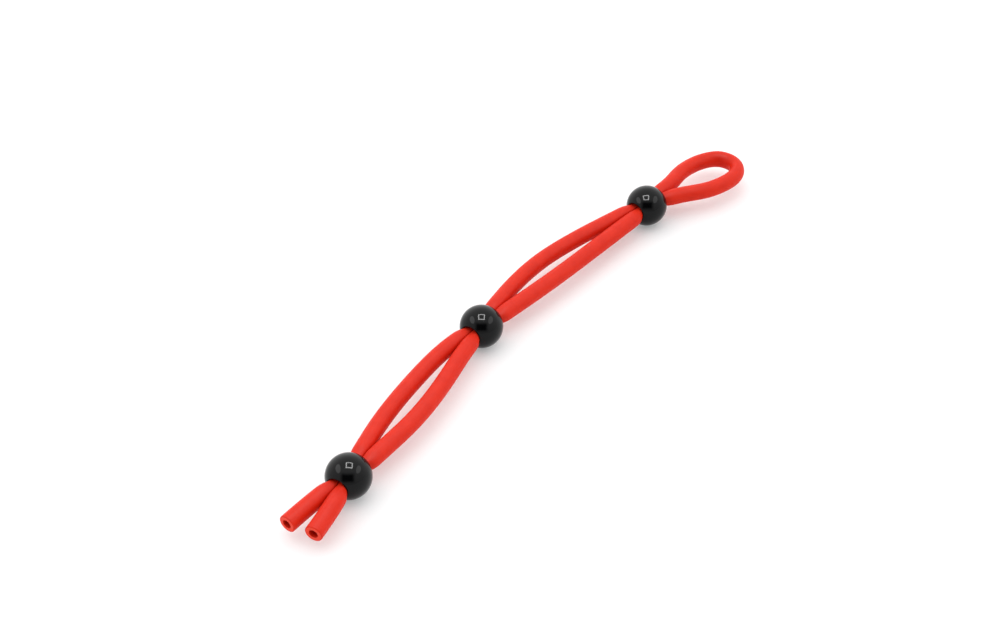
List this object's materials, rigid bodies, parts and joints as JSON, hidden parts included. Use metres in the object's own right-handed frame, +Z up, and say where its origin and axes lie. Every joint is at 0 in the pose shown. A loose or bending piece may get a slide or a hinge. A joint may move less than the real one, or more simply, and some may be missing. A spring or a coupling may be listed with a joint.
{
  "type": "adjustable loop cord",
  "caption": "Rubber tube folded double through round sliding beads, leaving a loop at one end and the tube's cut ends at the other.",
  "frame": {"origin": "on the surface that the beads lie on, below the middle of the three beads' box", "axes": "+X from the bead at the cut ends to the bead at the loop, +Z up from the surface, +Y to the left of +X"},
  "size_m": [0.2477, 0.0364, 0.015],
  "materials": {
    "tube_red": "satin silicone rubber",
    "bead_black": "polished"
  },
  "bodies": {
    "cord": {"cord_tube": "tube_red"},
    "end_bead": {"end_bead": "bead_black"},
    "middle_bead": {"middle_bead": "bead_black"},
    "loop_bead": {"loop_bead": "bead_black"}
  },
  "joints": [
    {"name": "end_bead_slide", "type": "slide", "parent": "cord", "child": "end_bead", "axis": [0.9954, 0.0958, 0], "range_m": [-0.01, 0.018], "deforming": ["cord_tube"]},
    {"name": "middle_bead_slide", "type": "slide", "parent": "cord", "child": "middle_bead", "axis": [1, 0.0052, 0], "range_m": [-0.018, 0.02], "deforming": ["cord_tube"]},
    {"name": "loop_bead_slide", "type": "slide", "parent": "cord", "child": "loop_bead", "axis": [0.9848, -0.1736, 0], "range_m": [-0.02, 0.012], "deforming": ["cord_tube"]}
  ]
}
